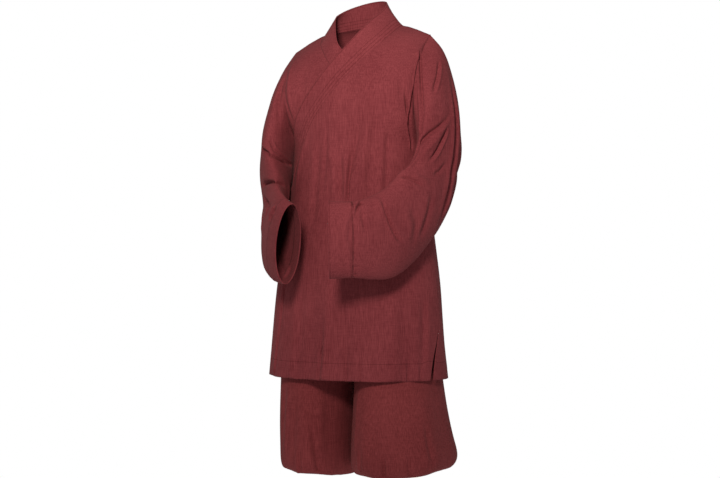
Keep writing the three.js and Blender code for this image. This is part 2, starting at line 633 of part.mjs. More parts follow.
function collarHalf(rows, column, table, lay) {
  return rows.map((row, i) => {
    const seam = row.at(column).clone();
    const { x, y, up, lie } = rowAt(table, "z", seam.z);
    const inner = point(x, y, up);
    const [above, below] = [rows[max(i - 1, 0)], rows[min(i + 1, rows.length - 1)]];
    const along = below.at(column).clone().sub(above.at(column)).normalize();
    const gap = inner.clone().sub(seam).projectOnPlane(along).setLength(COLLAR_GAP);
    return collarColumn(seam.add(gap), inner, { lie: clamp(lie, 0, 1), ...lay });
  });
}

function collarRows() {
  const lapEnd = leftFront.findIndex((row) => row[0].z <= COLLAR_END_Z);
  const shown = leftFront.slice(0, lapEnd + 1);
  const left = collarHalf(shown, 0, COLLAR_LEFT, { proud: COLLAR_PROUD }).reverse();
  const hidden = rightFront.findIndex((row) => row.at(-1).z < COLLAR_HIDDEN_Z);
  const right = collarHalf(rightFront.slice(0, hidden), -1, COLLAR_RIGHT, { inset: LAP_DEPTH });
  const nape = back[0].filter((p) => p.x < NECK_LEFT_X - 1 && p.x > NECK_RIGHT_X + 1);
  const middle = nape.map((p) => {
    const turn = ((p.x - NECK_MIDDLE_X) / NECK_HALF) * (PI / 2);
    const top = NECK_TOP.foot + NECK_TOP.tilt * sin(turn) + NECK_TOP.rise * cos(turn);
    const across = NECK_TOP.middle + NECK_TOP.wide * sin(turn);
    const inner = point(across, NECK_TOP.front + NECK_TOP.deep * cos(turn), top);
    const seam = p.clone().lerp(inner, SEAM_GAP / p.distanceTo(inner));
    return collarColumn(seam, inner, { roll: COLLAR_ROLL });
  });
  const columns = [...left, ...middle, ...right];
  const rows = count(COLLAR_CELLS).map((k) => columns.map((column) => column[k]));
  const seams = [
    ...normalsOf(leftFront, Infinity).slice(1, lapEnd + 1).map((row) => row[0]).reverse(),
    ...[leftFront[0][0], ...nape, rightFront[0].at(-1)].map(napeNormal),
    ...normalsOf(rightFront, Infinity).slice(1, hidden).map((row) => row.at(-1)),
  ];
  return [rows, (i, j) => (i === COLLAR_CELLS ? seams[j] : null)];
}

const [collar, seamNormal] = collarRows();
sew("collar_band", clothWall(collar, { thickness: BAND, seamNormal }));

// ---- Trousers ----

const WAIST_Z = -430;
const RISE_CURVE_Z = -640; // where the crotch seam begins to curve under
const CROTCH_Z = -748;

// The seat of the trousers is a shell in two halves, one for each leg, from the waist to the
// crotch. Half the width of both together, and their depth to the front and to the back.
const SEAT = [
  { z: WAIST_Z, wide: 150, front: 106, back: 103 },
  { z: -466, wide: 152, front: 108, back: 105 },
  { z: -540, wide: 178, front: 120, back: 114 },
  { z: -640, wide: 203, front: 127, back: 120 },
  { z: -700, wide: 204, front: 126, back: 119 },
  { z: CROTCH_Z, wide: 203, front: 120, back: 114 },
];
const SEAT_MIDDLE = -5;

// A leg below the crotch, out from the middle of the body. Tuck is how far the cloth is drawn in
// to the calf, and dip how far that row follows the sagging rim, which is low in front and high
// outside, by the heights in RIM_DIP.
const RIM_DIP = {
  left: { front: -7, inside: 0, outside: 9 },
  right: { front: -7, inside: -18, outside: 9 },
};
const LEFT_LEG = [
  { z: -748, inner: 0.15, outer: 200, front: 112, back: 104, tuck: 0, dip: 0 },
  { z: -800, inner: 1, outer: 207, front: 116, back: 104, tuck: 0, dip: 0 },
  { z: -860, inner: -1, outer: 214, front: 124, back: 110, tuck: 0, dip: 0 },
  { z: -950, inner: -4, outer: 228, front: 140, back: 130, tuck: 0, dip: 0 },
  { z: -1010, inner: -7, outer: 239, front: 149, back: 143, tuck: 0, dip: 0.5 },
  { z: -1046, inner: -9, outer: 250, front: 153, back: 147, tuck: 0, dip: 1 },
  { z: -1068, inner: -9, outer: 252, front: 153, back: 147, tuck: 0.02, dip: 1 },
  { z: -1083, inner: -8, outer: 249, front: 151, back: 145, tuck: 0.1, dip: 1 },
  { z: -1085, inner: -7, outer: 245, front: 149, back: 143, tuck: 0.32, dip: 0.9 },
  { z: -1073, inner: -6, outer: 241, front: 148, back: 142, tuck: 0.66, dip: 0.5 },
  { z: -1052, inner: -6, outer: 240, front: 148, back: 142, tuck: 1, dip: 0 },
];
const RIGHT_LEG = [
  { z: -748, inner: 0.15, outer: 205, front: 112, back: 108, tuck: 0, dip: 0 },
  { z: -800, inner: 6, outer: 205, front: 116, back: 112, tuck: 0, dip: 0 },
  { z: -860, inner: 12, outer: 204, front: 123, back: 118, tuck: 0, dip: 0 },
  { z: -950, inner: 14, outer: 199, front: 137, back: 133, tuck: 0, dip: 0 },
  { z: -1010, inner: 14, outer: 196, front: 141, back: 138, tuck: 0, dip: 0.5 },
  { z: -1046, inner: 13, outer: 195, front: 142, back: 140, tuck: 0, dip: 1 },
  { z: -1068, inner: 13, outer: 195, front: 142, back: 140, tuck: 0.02, dip: 1 },
  { z: -1083, inner: 13, outer: 194, front: 141, back: 139, tuck: 0.1, dip: 1 },
  { z: -1085, inner: 13, outer: 193, front: 139, back: 138, tuck: 0.32, dip: 0.9 },
  { z: -1073, inner: 13, outer: 192, front: 138, back: 137, tuck: 0.66, dip: 0.5 },
  { z: -1052, inner: 13, outer: 192, front: 138, back: 137, tuck: 1, dip: 0 },
];
const CALF = { radius: 60, outward: 8, taper: 0.05, band: 34, gathers: 8, puff: 0.09 };

// The hanging folds of the trouser legs, by the angle round the leg from its front.
const LEG_FOLDS = [
  { angle: 20, lean: -6, width: 20, depth: -5, top: -820, foot: -1100 },
  { angle: 52, lean: 4, width: 18, depth: 5, top: -860, foot: -1100 },
  { angle: 82, lean: 0, width: 20, depth: -5, top: -840, foot: -1100 },
  { angle: 140, lean: 4, width: 22, depth: 5, top: -780, foot: -1100 },
  { angle: 175, lean: -4, width: 20, depth: -6, top: -800, foot: -1100 },
  { angle: 215, lean: 0, width: 22, depth: 5, top: -840, foot: -1100 },
  { angle: -22, lean: 4, width: 18, depth: 5, top: -880, foot: -1100 },
];

const SEAT_ROWS = [WAIST_Z, -466, -520, -580, RISE_CURVE_Z, -672, -700, -722, -738, -745];

function legRing(leg, rim, row, t) {
  const angle = -90 + 360 * t;
  const [side, ahead] = [sin(radians(angle)), cos(radians(angle))];
  const middle = (row.inner + row.outer) / 2;
  const calf = (leg[0].inner + leg[0].outer) / 2 + CALF.outward;
  const gather = 1 + CALF.puff * row.tuck * (1 - row.tuck) * 4 * cos(2 * PI * CALF.gathers * t);
  const draw = 1 - row.tuck;
  const out = foldAt(LEG_FOLDS, angle, row.z) * draw;
  const wide = lerp(CALF.radius, (row.outer - row.inner) / 2 + out, draw) * gather;
  const deep = lerp(CALF.radius, (ahead > 0 ? row.front : row.back) + out, draw) * gather;
  const across = side > 0 ? rim.outside : rim.inside;
  const dip = row.dip * (rim.front * max(ahead, 0) + across * side * side);
  return point(lerp(calf, middle, draw) + side * wide, -ahead * deep, row.z + dip);
}

// How far a height has come down the curve of the crotch seam, from 0 to 1.
const downCurve = (z) => clamp((RISE_CURVE_Z - z) / (RISE_CURVE_Z - CROTCH_Z), 0, 1);

function legRows(side, leg, rim) {
  const across = count(LEG_COLUMNS).map((j) => j / LEG_COLUMNS);
  const seat = SEAT_ROWS.slice(1).map((z) => {
    const ring = rowAt(SEAT, "z", z);
    const deepest = sqrt(1 - pow(downCurve(z), 2));
    return across.map((t) => {
      const wide = ring.wide + side * SEAT_MIDDLE - HALF_GAP;
      const ahead = cos(PI * t);
      const deep = ahead > 0 ? ring.front : ring.back;
      const open = point(HALF_GAP + wide * sin(PI * t), -ahead * deep, z);
      const closed = legRing(leg, rim, leg[0], t);
      return open.lerp(point(closed.x, closed.y, z), 1 - deepest);
    });
  });
  const low = leg.map((row) => across.map((t) => legRing(leg, rim, row, t)));
  const rows = [...seat, ...low];
  return side > 0 ? rows : rows.map((row) => row.map(mirror).reverse());
}

function sewLeg(name, side, leg) {
  const rows = legRows(side, leg, RIM_DIP[name]);
  const seamNormal = (i, j) => {
    if (i >= SEAT_ROWS.length - 1 || (j > 0 && j < LEG_COLUMNS)) return null;
    const front = (j === 0) === side > 0;
    const down = downCurve(rows[i][j].z);
    return point(0, (front ? -1 : 1) * sqrt(1 - down * down), -down * down).normalize();
  };
  sew("trouser_leg_" + name, clothWall(rows, { closedFrom: SEAT_ROWS.length - 1, seamNormal }));
  const calf = rows.at(-1).map((p) => p.clone().setZ(p.z - SEAM_GAP));
  const middle = calf.reduce((sum, p) => sum.addScaledVector(p, 1 / calf.length), point(0, 0, 0));
  const taper = (p, k) => p.clone().setZ(middle.z).lerp(middle, k * CALF.taper);
  const band = count(1).map((k) => calf.map((p) => taper(p, k).setZ(p.z - k * CALF.band)));
  sew("trouser_cuff_" + name, clothWall(band, { closedFrom: 0, thickness: BAND }));
}

function sewWaistband() {
  const rows = [SEAT_ROWS[0], SEAT_ROWS[1] + SEAM_GAP].map((z) => {
    const ring = rowAt(SEAT, "z", z);
    return count(LEG_COLUMNS).map((j) => {
      const turn = (2 * PI * j) / LEG_COLUMNS - PI;
      const deep = cos(turn) > 0 ? ring.front : ring.back;
      return point(SEAT_MIDDLE + ring.wide * sin(turn), -deep * cos(turn), z);
    });
  });
  sew("waistband", clothWall(rows, { closedFrom: 0, thickness: BAND }));
}

sewWaistband();
sewLeg("left", 1, LEFT_LEG);
sewLeg("right", -1, RIGHT_LEG);

export default uniform;
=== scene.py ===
import math

import bmesh
import bpy
import numpy as np
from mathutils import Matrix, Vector, noise
from mathutils.bvhtree import BVHTree
from mathutils.kdtree import KDTree


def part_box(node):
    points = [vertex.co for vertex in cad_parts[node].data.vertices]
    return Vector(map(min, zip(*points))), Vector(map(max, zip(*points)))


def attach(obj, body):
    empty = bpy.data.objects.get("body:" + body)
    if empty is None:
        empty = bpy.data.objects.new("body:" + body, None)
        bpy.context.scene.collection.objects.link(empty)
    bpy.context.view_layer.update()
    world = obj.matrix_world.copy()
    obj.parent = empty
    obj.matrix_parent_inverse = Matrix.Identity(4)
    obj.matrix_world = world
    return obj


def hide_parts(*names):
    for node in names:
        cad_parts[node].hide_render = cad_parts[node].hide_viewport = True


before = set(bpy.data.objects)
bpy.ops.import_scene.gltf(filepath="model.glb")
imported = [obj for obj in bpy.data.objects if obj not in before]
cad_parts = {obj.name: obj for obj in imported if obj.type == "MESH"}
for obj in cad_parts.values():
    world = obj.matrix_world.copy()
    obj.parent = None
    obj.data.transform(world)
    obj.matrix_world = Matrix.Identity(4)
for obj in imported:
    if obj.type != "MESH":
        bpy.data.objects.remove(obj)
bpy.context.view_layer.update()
scene = bpy.context.scene

# ---- The room ----
# A pale floor with a painted glow that stands in for fill light from below, in an equally pale
# room, a camera at chest height 25 degrees to the wearer's left of straight ahead, and a soft
# light high beside it.

CAMERA_TURN = math.radians(25)
CAMERA_AWAY = 4.0
CAMERA_HEIGHT = -0.515
CAMERA_LENS = 80  # mm, before a frame 36 mm wide
FLOOR_HEIGHT = -1.48  # the wearer's soles, below the base of the neck
FLOOR_RADIUS = 2.3
FLOOR_COLOUR = "#f6f6f5"
# painted glow: the floor's emission strength, a fill light from below painted into the floor
FLOOR_GLOW = 0.34
ROOM_LIGHT = 0.27
LAMP_WIDTH = 0.42
LAMP_WATTS = 8.6
LAMP_SPREAD = math.radians(74)  # a grid before the cloth of the box narrows its light


def linear(code):
    """An sRGB hex code as linear red, green and blue, with full alpha."""
    parts = [int(code[i : i + 2], 16) / 255 for i in (1, 3, 5)]
    curved = [c / 12.92 if c <= 0.04045 else ((c + 0.055) / 1.055) ** 2.4 for c in parts]
    return (*curved, 1.0)


def add_node(material, kind, links=(), **settings):
    """Adds a node, sets its own options and its sockets, and links (output, socket) pairs."""
    tree = material.node_tree
    node = tree.nodes.new(kind)
    for name, value in settings.items():
        if hasattr(node, name):
            setattr(node, name, value)
    for name, value in settings.items():
        if not hasattr(node, name):
            label = name.replace("_", " ")
            socket = next(s for s in node.inputs if s.enabled and s.name.lower() == label)
            socket.default_value = value
    for output, socket in links:
        tree.links.new(output, node.inputs[socket])
    return node


def from_view(across, toward, up):
    """A place by its distance to the right of the camera's axis, towards the camera, and up."""
    return Vector(
        (
            across * math.cos(CAMERA_TURN) + toward * math.sin(CAMERA_TURN),
            across * math.sin(CAMERA_TURN) - toward * math.cos(CAMERA_TURN),
            up,
        )
    )


floor_shape = bmesh.new()
bmesh.ops.create_circle(floor_shape, cap_ends=True, segments=96, radius=FLOOR_RADIUS)
bmesh.ops.translate(floor_shape, verts=floor_shape.verts, vec=(0, 0, FLOOR_HEIGHT))
floor_mesh = bpy.data.meshes.new("studio_floor")
floor_shape.to_mesh(floor_mesh)
floor_shape.free()

# A pale white floor without gloss. Its emission is a painted glow with no lamp behind it, which
# lights the garment from below as fill light.
floor_painted_glow = bpy.data.materials.new("floor_painted_glow")
floor_painted_glow.use_nodes = True
for socket, value in (
    ("Base Color", linear(FLOOR_COLOUR)),
    ("Roughness", 0.9),
    ("Specular IOR Level", 0.0),
    ("Emission Color", linear(FLOOR_COLOUR)),
    ("Emission Strength", FLOOR_GLOW),
):
    floor_painted_glow.node_tree.nodes["Principled BSDF"].inputs[socket].default_value = value
floor_mesh.materials.append(floor_painted_glow)
studio_floor = bpy.data.objects.new("studio_floor", floor_mesh)
scene.collection.objects.link(studio_floor)

room = bpy.data.worlds.new("white_room")
room.use_nodes = True
room.node_tree.nodes["Background"].inputs["Color"].default_value = linear("#ffffff")
seen = add_node(room, "ShaderNodeLightPath")
brightness = add_node(
    room,
    "ShaderNodeMapRange",
    [(seen.outputs["Is Camera Ray"], "Value")],
    to_min=ROOM_LIGHT,
    to_max=1.0,
)
room.node_tree.links.new(
    brightness.outputs["Result"], room.node_tree.nodes["Background"].inputs["Strength"]
)
scene.world = room

soft_box = bpy.data.lights.new("key_light", "AREA")
soft_box.shape = "SQUARE"
soft_box.size = LAMP_WIDTH
soft_box.energy = LAMP_WATTS
soft_box.color = linear("#fffaf4")[:3]
soft_box.spread = LAMP_SPREAD
lamp = bpy.data.objects.new("key_light", soft_box)
lamp.location = from_view(-0.32, 2.35, 0.42)
neck = Vector((0, 0, 0.04))
lamp.rotation_euler = (neck - lamp.location).to_track_quat("-Z", "Y").to_euler()
scene.collection.objects.link(lamp)

camera_data = bpy.data.cameras.new("camera")
camera_data.lens = CAMERA_LENS
camera_data.sensor_width = 36
camera = bpy.data.objects.new("camera", camera_data)
camera.location = from_view(0, CAMERA_AWAY, CAMERA_HEIGHT)
camera.rotation_euler = (math.pi / 2, 0, CAMERA_TURN)
scene.collection.objects.link(camera)
scene.camera = camera
scene.view_settings.view_transform = "Standard"

# ---- Left front ----
# The broad front that laps over to the right side. Linen and cotton, plain woven of slubbed yarn,
# dyed in the piece and not pressed, so it is matt and lightly crumpled. It is sewn to the back at
# the shoulder and down the side as far as the slit, and hemmed 42 mm deep.

SINGLE = 0.0016  # one layer of the cloth
DOUBLED = 0.0026  # two layers, stitched together
HEM_DEPTH = 0.042
HEM_ABOVE = -0.85  # every edge of the jacket below this height is its hem
SAME_PLACE = 1e-5  # points and lengths that differ by less are the same


def outer_face(node, wall):
    """The outer face of a cut piece: its wall without the cut edges and without the inner face."""
    sheet = bmesh.new()
    sheet.from_mesh(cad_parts[node].data)
    bmesh.ops.remove_doubles(sheet, verts=sheet.verts, dist=SAME_PLACE)
    cut_edge = [
        face
        for face in sheet.faces
        if min(abs(edge.calc_length() - wall) for edge in face.edges) < SAME_PLACE
    ]
    bmesh.ops.delete(sheet, geom=cut_edge, context="FACES")
    low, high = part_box(node)
    middle = (low + high) / 2
    waiting = set(sheet.faces)
    while waiting:
        side = [waiting.pop()]
        for face in side:
            for edge in face.edges:
                for other in edge.link_faces:
                    if other in waiting:
                        waiting.remove(other)
                        side.append(other)
        facing = sum(f.calc_area() * f.normal.dot(f.calc_center_median() - middle) for f in side)
        if facing < 0:
            bmesh.ops.delete(sheet, geom=side, context="FACES")
            waiting = {face for face in waiting if face.is_valid}
    return sheet


def label_edges(sheet, first):
    """Tells the warp, weft and diagonal edges of a sheet of split squares apart, as 0, 1 and 2."""
    start = next(edge for edge in sheet.edges if edge.is_boundary).link_loops[0]
    labels = {}
    seen = {start.face}
    waiting = [(start, first)]
    for loop, label in waiting:
        for step in range(3):
            labels[loop.edge] = (label + step) % 3
            across = loop.link_loop_radial_next
            if across.face not in seen:
                seen.add(across.face)
                waiting.append((across, labels[loop.edge]))
            loop = loop.link_loop_next
    return labels


def join_squares(sheet):
    """Takes out the diagonals, which no border edge can be and which are the longest in all."""
    best = None
    for first in range(3):
        labels = label_edges(sheet, first)
        diagonals = [edge for edge, label in labels.items() if label == 2]
        if any(edge.is_boundary for edge in diagonals):
            continue
        length = sum(edge.calc_length() for edge in diagonals)
        if best is None or length > best[0]:
            best = (length, diagonals)
    bmesh.ops.dissolve_edges(sheet, edges=best[1], use_verts=False, use_face_split=False)


def smooth_step(t):
    t = np.clip(t, 0, 1)
    return t * t * (3 - 2 * t)


def crease(line, width, depth, lip=0, fade=(0.3, 0.3)):
    """A crease of the cloth along a line of points, in millimetres. It sinks in by depth, or stands
    out if that is negative. Lip piles cloth up on one side: 1 for the right of the line, -1 for the
    left, 2 for both. Fade is the share of the line over which each end dies away."""
    return {"line": line, "width": width, "depth": depth, "lip": lip, "fade": fade}


CREASE_REACH = 3.4  # a crease ends this many times its width away from its line
LIP_AWAY = 1.7  # its lip lies this many times its width away
LIP_RISE = 0.45  # and is this share of its depth high
LINE_STEP = 0.012  # its line is laid on the cloth at points this far apart
OFF_CLOTH = 0.02  # a line that is farther from a piece belongs to its neighbours alone


def press(points, normals, surface, fold):
    """Moves the points of a sheet along their normals by one crease."""
    line = [Vector(p) / 1000 for p in fold["line"]]
    dense = []
    for start, end in zip(line, line[1:]):
        steps = max(2, int((end - start).length / LINE_STEP))
        dense += [start.lerp(end, k / steps) for k in range(steps)]
    dense.append(line[-1])
    track = np.array([tuple(surface.find_nearest(p)[0]) for p in dense])
    if min(surface.find_nearest(p)[3] for p in dense) > OFF_CLOTH:
        return
    width = fold["width"] / 1000
    reach = width * CREASE_REACH
    near = np.all((points > track.min(0) - reach) & (points < track.max(0) + reach), axis=1)
    if not near.any():
        return
    spots, facing = points[near], normals[near]
    starts, spans = track[:-1], track[1:] - track[:-1]
    lengths = np.linalg.norm(spans, axis=1) + 1e-9
    toward = np.einsum("pkc,kc->pk", spots[:, None] - starts[None], spans)
    along = np.clip(toward / lengths**2, 0, 1)
    feet = starts[None] + along[..., None] * spans[None]
    away = np.linalg.norm(spots[:, None] - feet, axis=2)
    pick = away.argmin(1)
    rows = np.arange(len(spots))
    distance = away[rows, pick] / width
    offset = spots - feet[rows, pick]
    side = np.sign(np.einsum("pc,pc->p", np.cross(spans[pick], facing), offset))
    travelled = np.concatenate([[0], np.cumsum(lengths)])
    place = (travelled[pick] + along[rows, pick] * lengths[pick]) / travelled[-1]
    fade_in, fade_out = (max(share, 1e-3) for share in fold["fade"])
    ends = smooth_step(place / fade_in) * smooth_step((1 - place) / fade_out)
    piled = (fold["lip"] != 0) & ((side == np.sign(fold["lip"])) | (fold["lip"] == 2))
    trough = np.exp(-(distance**2))
    lip = LIP_RISE * piled * np.exp(-((distance - LIP_AWAY) ** 2))
    points[near] += facing * (fold["depth"] / 1000 * (lip - trough) * ends)[:, None]


# Waves in a metre along each axis, their share of the height, and where each kind starts.
WAVES = [
    ((17, 17, 5), 1, (0, 0, 0)),
    ((45, 45, 10), 0.4, (7, 0, 0)),
    ((105, 105, 14), 0.16, (0, 3, 0)),
]


def crumple(points, normals, height):
    """The slight unevenness of worn linen: long shallow waves that run mostly downwards."""
    for i, (p, n) in enumerate(zip(points, normals)):
        rise = sum(share * noise.noise(Vector(p * rate + start)) for rate, share, start in WAVES)
        points[i] = p + n * height * rise


def border_of(mesh):
    """The pairs of points that a border edge joins."""
    uses = {}
    for face in mesh.polygons:
        for key in face.edge_keys:
            uses[key] = uses.get(key, 0) + 1
    return [key for key, count in uses.items() if count == 1]


def tree_of(points):
    tree = KDTree(len(points))
    for i, p in enumerate(points):
        tree.insert(p, i)
    tree.balance()
    return tree


EDGE_STEP = 0.0006  # an edge is measured from at points this far apart


def mark_edge(mesh, name, wanted):
    """Writes each point's distance from the edge that wanted() accepts, for rows of stitching."""
    edge = []
    for a, b in border_of(mesh):
        start, end = mesh.vertices[a].co, mesh.vertices[b].co
        if wanted((start + end) / 2):
            steps = max(1, int((end - start).length / EDGE_STEP))
            edge += [start.lerp(end, k / steps) for k in range(steps)]
    tree = tree_of(edge)
    marks = mesh.attributes.new(name, "FLOAT", "POINT")
    marks.data.foreach_set("value", [tree.find(v.co)[2] for v in mesh.vertices])


# The corners where three pieces meet: the neck points, the shoulder tips and the armpits.
CORNERS = [
    (112, 16, 14), (-97, 16, 2), (185, 12, -13), (-185, 12, -39), (172, 0, -275), (-172, 0, -275)
]
CORNER_REACH = 0.004
SEAM_REACH = 0.0016  # borders that were cut closer together than this are sewn to each other
sewn_spots = []  # where the borders of the pieces made so far were cut
sewn_ends = []  # and where they have come to lie, which the next piece is sewn to


def hold_corners(mesh):
    """Keeps the corners sharp, so that the smoothed borders of all three pieces meet there."""
    hold = mesh.attributes.new("crease_vert", "FLOAT", "POINT")
    for v in mesh.vertices:
        if min((v.co - Vector(c) / 1000).length for c in CORNERS) < CORNER_REACH:
            hold.data[v.index].value = 1


def sew_borders(mesh, cut, points):
    """Brings the borders of a piece to those of the pieces that it is sewn to."""
    border = sorted({i for edge in border_of(mesh) for i in edge})
    if sewn_spots:
        tree = tree_of(sewn_spots)
        for i in border:
            spot, near, away = tree.find(cut[i])
            if away < SEAM_REACH:
                points[i] = sewn_ends[near]
    sewn_spots.extend(cut[i].copy() for i in border)
    sewn_ends.extend(points[i].copy() for i in border)


SKIN = 0.0001  # the wall is this much thinner than the cloth, to leave its neighbours room


def cloth_piece(node, material, creases, wall=SINGLE, cells=3, waves=1.2, edges=None):
    """Sews one piece: the node's outer face in fine cells, with its creases, turned in to a wall.
    Cells is how often each square is halved, and waves the height of the crumpling, in mm."""
    sheet = outer_face(node, wall)
    join_squares(sheet)
    rough = bpy.data.meshes.new(node + "_rough")
    sheet.to_mesh(rough)
    sheet.free()
    hold_corners(rough)
    piece = bpy.data.objects.new(node + "_cloth", rough)
    scene.collection.objects.link(piece)
    finer = piece.modifiers.new("finer", "SUBSURF")
    finer.levels = finer.render_levels = cells
    finer.boundary_smooth = "PRESERVE_CORNERS"
    mesh = bpy.data.meshes.new_from_object(
        piece.evaluated_get(bpy.context.evaluated_depsgraph_get())
    )
    piece.modifiers.clear()
    piece.data = mesh
    mesh.name = piece.name
    bpy.data.meshes.remove(rough)
    for name, wanted in (edges or {}).items():
        mark_edge(mesh, name, wanted)

    points = np.empty(len(mesh.vertices) * 3)
    mesh.vertices.foreach_get("co", points)
    points = points.reshape(-1, 3)
    normals = np.array([tuple(v.normal) for v in mesh.vertices])
    surface = BVHTree.FromPolygons(
        [tuple(p) for p in points], [tuple(f.vertices) for f in mesh.polygons]
    )
    cut = points.copy()
    crumple(points, normals, waves / 1000)
    for fold in creases:
        press(points, normals, surface, fold)
    sew_borders(mesh, cut, points)
    mesh.vertices.foreach_set("co", points.reshape(-1))
    mesh.update()
    mesh.shade_smooth()
    mesh.materials.clear()
    mesh.materials.append(material)

    turned_in = piece.modifiers.new("turned_in", "SOLIDIFY")
    turned_in.thickness = wall - SKIN
    turned_in.offset = -1
    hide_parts(node)
    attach(piece, "root")
    return piece


SLUBS = 620  # in a metre across the yarn, so 1.6 mm wide
SLUB_RUNS = 24  # in a metre down the warp, so they run for about 40 mm
SLUB_FLECKS = 45  # in a metre along the weft, so they run for about 20 mm
WORN_PATCHES = (9, 9, 5)  # in a metre each way, where the cloth has faded a little
WARP_SHOWS, WEFT_SHOWS = 0.42, 0.18
STITCH = 0.0007  # half the width of a row of stitching
# painted shade: each row of stitching is multiplied darker by this colour, standing in for the
# shade in the groove that the stitches press into the cloth
STITCH_GROOVE_PAINTED_SHADE = "#d8cccc"


def linen(name, colour, dark, rows=(), grain=(0, 0, 0)):
    """Slubbed linen, plain woven of uneven yarn about 0.6 mm thick, matt, with hardly any sheen.
    Thick places in the yarn show as short streaks along both threads, longer and stronger down the
    warp. The yarn itself is too fine to show, so the streaks are drawn coarser than it is. Rows are
    the marked edges that the lines of stitching follow and their distances from them. Grain turns
    the warp on pieces cut at a slant."""
    material = bpy.data.materials.new(name)
    material.use_nodes = True
    shader = material.node_tree.nodes["Principled BSDF"]
    shader.inputs["Roughness"].default_value = 0.92
    shader.inputs["Specular IOR Level"].default_value = 0.18
    shader.inputs["Sheen Weight"].default_value = 0.04
    shader.inputs["Sheen Roughness"].default_value = 0.5
    shader.inputs["Sheen Tint"].default_value = linear("#d9a9a0")
    place = add_node(material, "ShaderNodeTexCoord")

    shares = []
    for scale, detail, low, high in (
        ((SLUBS, SLUBS, SLUB_RUNS), 2, -WARP_SHOWS, WARP_SHOWS),
        ((SLUB_FLECKS, SLUB_FLECKS, SLUBS), 2, -WEFT_SHOWS, WEFT_SHOWS),
        (WORN_PATCHES, 3, 0.3, 0.7),
    ):
        stretched = add_node(
            material,
            "ShaderNodeMapping",
            [(place.outputs["Object"], "Vector")],
            rotation=grain,
            scale=scale,
        )
        clouds = add_node(
            material,
            "ShaderNodeTexNoise",
            [(stretched.outputs["Vector"], "Vector")],
            scale=1.0,
            detail=detail,
            roughness=0.55,
        )
        weighed = add_node(
            material,
            "ShaderNodeMapRange",
            [(clouds.outputs["Fac"], "Value")],
            from_min=0.3,
            from_max=0.7,
            to_min=low,
            to_max=high,
        )
        shares.append(weighed.outputs["Result"])
    warp, weft, worn = shares
    threads = add_node(material, "ShaderNodeMath", [(warp, 0), (weft, 1)], operation="ADD")
    threads = threads.outputs["Value"]
    depth = add_node(material, "ShaderNodeMath", [(threads, 0), (worn, 1)], operation="ADD")
    dye = add_node(
        material,
        "ShaderNodeMix",
        [(depth.outputs["Value"], "Factor")],
        data_type="RGBA",
        a=linear(dark),
        b=linear(colour),
    )
    shown = next(s for s in dye.outputs if s.enabled)
    # along each row of stitching the colour is multiplied darker: painted shade of the stitch
    # groove
    for edge, distance in rows:
        marks = add_node(material, "ShaderNodeAttribute", attribute_name=edge)
        on_row = add_node(
            material, "ShaderNodeMath", [(marks.outputs["Fac"], 0)], operation="COMPARE"
        )
        on_row.inputs[1].default_value = distance
        on_row.inputs[2].default_value = STITCH
        painted_groove_shade = add_node(
            material,
            "ShaderNodeMix",
            [(on_row.outputs["Value"], "Factor")],
            data_type="RGBA",
            blend_type="MULTIPLY",
            b=linear(STITCH_GROOVE_PAINTED_SHADE),
        )
        material.node_tree.links.new(
            shown, next(s for s in painted_groove_shade.inputs if s.enabled and s.type == "RGBA")
        )
        shown = next(s for s in painted_groove_shade.outputs if s.enabled)
    material.node_tree.links.new(shown, shader.inputs["Base Color"])
    raised = add_node(
        material, "ShaderNodeBump", [(threads, "Height")], strength=0.5, distance=0.0006
    )
    material.node_tree.links.new(raised.outputs["Normal"], shader.inputs["Normal"])
    return material


MAROON = "#8c3e42"
MAROON_DEEP = "#6e292e"  # where the dye lies deeper, in the thin places of the yarn
jacket_linen = linen("maroon_slub_linen", MAROON, MAROON_DEEP, rows=[("from_hem", HEM_DEPTH)])


def is_hem(p):
    return p.z < HEM_ABOVE


